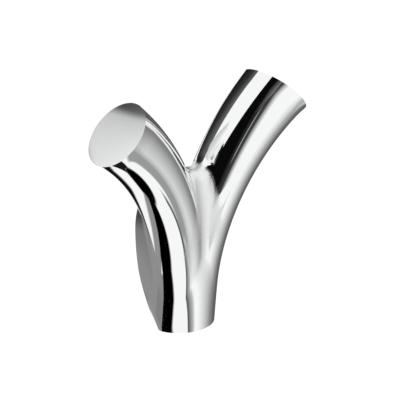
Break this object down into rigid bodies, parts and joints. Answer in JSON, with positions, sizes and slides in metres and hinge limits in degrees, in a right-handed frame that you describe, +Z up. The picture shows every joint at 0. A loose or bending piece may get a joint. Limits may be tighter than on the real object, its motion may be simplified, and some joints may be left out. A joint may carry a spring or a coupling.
{
  "type": "double robe hook",
  "caption": "Wall hook with twin flared horns that curl apart from one round foot, on an egg-shaped boss fixed over a concealed bracket.",
  "frame": {"origin": "on the wall plane, midway between the two wall screw holes of the bracket", "axes": "+Y into the wall, +Z up, +X to the right of a person facing the wall"},
  "size_m": [0.0892, 0.03, 0.0914],
  "materials": {
    "polished_chrome": "polished chrome plate",
    "bracket_metal": "as cast, zinc grey",
    "screw_steel": "plain steel"
  },
  "bodies": {
    "root": {"hook_body": "polished_chrome", "wall_bracket": "bracket_metal", "set_screw": "screw_steel"}
  },
  "joints": []
}
